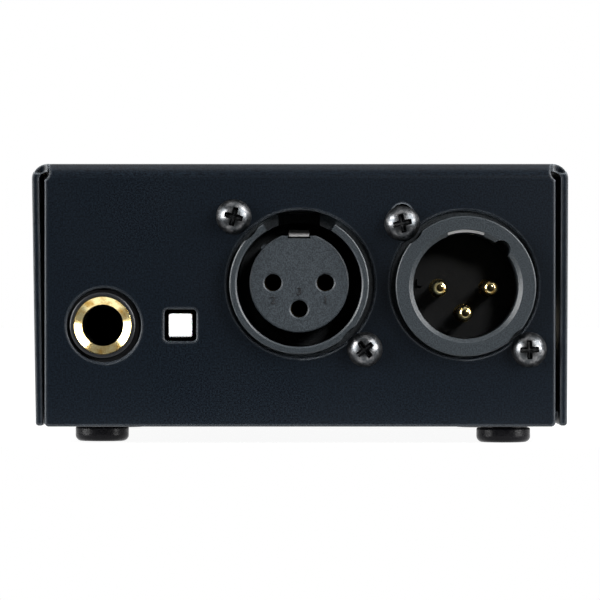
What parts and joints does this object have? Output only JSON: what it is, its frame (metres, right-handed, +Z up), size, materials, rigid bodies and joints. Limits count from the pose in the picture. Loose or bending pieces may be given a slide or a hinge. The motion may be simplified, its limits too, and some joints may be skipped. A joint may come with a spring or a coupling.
{
  "type": "direct injection box",
  "caption": "Small folded steel box on rubber feet with a jack, a push button, a female and a male XLR in front, and two jacks and a pad button behind.",
  "frame": {"origin": "middle of the footprint, on the surface that the feet stand on", "axes": "+X to the right as seen from the XLR end, +Y from the XLR end to the rear, +Z up"},
  "size_m": [0.085, 0.1183, 0.0443],
  "materials": {
    "powder_coat": "fine textured satin black powder coat",
    "rubber": "slightly glossy moulded rubber",
    "adhesive": "thin adhesive disc",
    "screw_steel": "worn black nickel",
    "zinc_steel": "bright zinc",
    "connector_plastic": "matt glass-filled moulding",
    "insert_plastic": "matt moulding",
    "gold": "bright gold plate",
    "tinned_metal": "tin plate",
    "spring_steel": "nickel-plated spring strip",
    "black_plastic": "satin black moulding",
    "white_plastic": "white moulding",
    "fibreglass": "green solder mask",
    "nylon": "natural nylon",
    "resistor_coat": "blue conformal coat",
    "capacitor_case": "red moulded case",
    "can_metal": "drawn nickel-iron",
    "lamination": "stacked sheet",
    "copper": "enamelled wire"
  },
  "bodies": {
    "box": {"top_shell": "powder_coat", "base_plate": "powder_coat", "base_nuts": "zinc_steel", "base_screws": "screw_steel", "foot_pads": "adhesive", "foot_front_left": "rubber", "foot_front_right": "rubber", "foot_rear_left": "rubber", "foot_rear_right": "rubber", "socket_housing": "connector_plastic", "socket_insert": "insert_plastic", "plug_housing": "connector_plastic", "plug_insert": "black_plastic", "plug_ground_strip": "spring_steel", "xlr_screws": "screw_steel", "socket_contact_1": "gold", "socket_contact_2": "gold", "socket_contact_3": "gold", "plug_pin_1": "gold", "plug_pin_2": "gold", "plug_pin_3": "gold", "front_jack_body": "black_plastic", "front_jack_bush": "gold", "front_jack_pins": "tinned_metal", "input_jack_body": "black_plastic", "input_jack_bush": "gold", "input_jack_pins": "tinned_metal", "link_jack_body": "black_plastic", "link_jack_bush": "gold", "link_jack_pins": "tinned_metal", "input_jack_nut": "black_plastic", "input_jack_washer": "zinc_steel", "link_jack_nut": "black_plastic", "link_jack_washer": "zinc_steel", "lift_switch_body": "black_plastic", "lift_switch_pins": "tinned_metal", "lift_switch_spring": "spring_steel", "pad_switch_body": "black_plastic", "pad_switch_pins": "tinned_metal", "pad_switch_spring": "spring_steel", "circuit_board": "fibreglass", "board_supports": "nylon", "resistors": "resistor_coat", "resistor_leads": "tinned_metal", "film_capacitors": "capacitor_case", "film_capacitor_leads": "tinned_metal", "transformer_can": "can_metal", "transformer_core": "lamination", "transformer_bobbin": "nylon", "transformer_winding": "copper", "transformer_pins": "tinned_metal"},
    "lift_button": {"lift_switch_plunger": "black_plastic", "lift_switch_cap": "white_plastic"},
    "pad_button": {"pad_switch_plunger": "black_plastic", "pad_switch_cap": "white_plastic"},
    "socket_latch": {"socket_spring": "spring_steel"},
    "front_jack_contact": {"front_jack_tip_spring": "spring_steel"},
    "input_jack_contact": {"input_jack_tip_spring": "spring_steel"},
    "link_jack_contact": {"link_jack_tip_spring": "spring_steel"}
  },
  "joints": [
    {"name": "lift_button_push", "type": "slide", "parent": "box", "child": "lift_button", "axis": [0, 1, 0], "range_m": [0, 0.002], "stiffness_N_per_m": 400, "deforming": ["lift_switch_spring"]},
    {"name": "pad_button_push", "type": "slide", "parent": "box", "child": "pad_button", "axis": [0, -1, 0], "range_m": [0, 0.002], "stiffness_N_per_m": 400, "deforming": ["pad_switch_spring"]},
    {"name": "front_jack_contact_lift", "type": "hinge", "parent": "box", "child": "front_jack_contact", "pos_m": [-0.03125, -0.0451, 0.0237], "axis": [1, 0, 0], "range_deg": [0, 4.5], "stiffness_Nm_per_rad": 0.05},
    {"name": "input_jack_contact_lift", "type": "hinge", "parent": "box", "child": "input_jack_contact", "pos_m": [0.026, 0.0431, 0.0237], "axis": [-1, 0, 0], "range_deg": [0, 4.5], "stiffness_Nm_per_rad": 0.05},
    {"name": "link_jack_contact_lift", "type": "hinge", "parent": "box", "child": "link_jack_contact", "pos_m": [0.005, 0.0431, 0.0237], "axis": [-1, 0, 0], "range_deg": [0, 4.5], "stiffness_Nm_per_rad": 0.05},
    {"name": "socket_latch_press", "type": "hinge", "parent": "box", "child": "socket_latch", "pos_m": [-0.00013, -0.0409, 0.03265], "axis": [1, 0, 0], "range_deg": [0, 3.5], "stiffness_Nm_per_rad": 0.05}
  ]
}
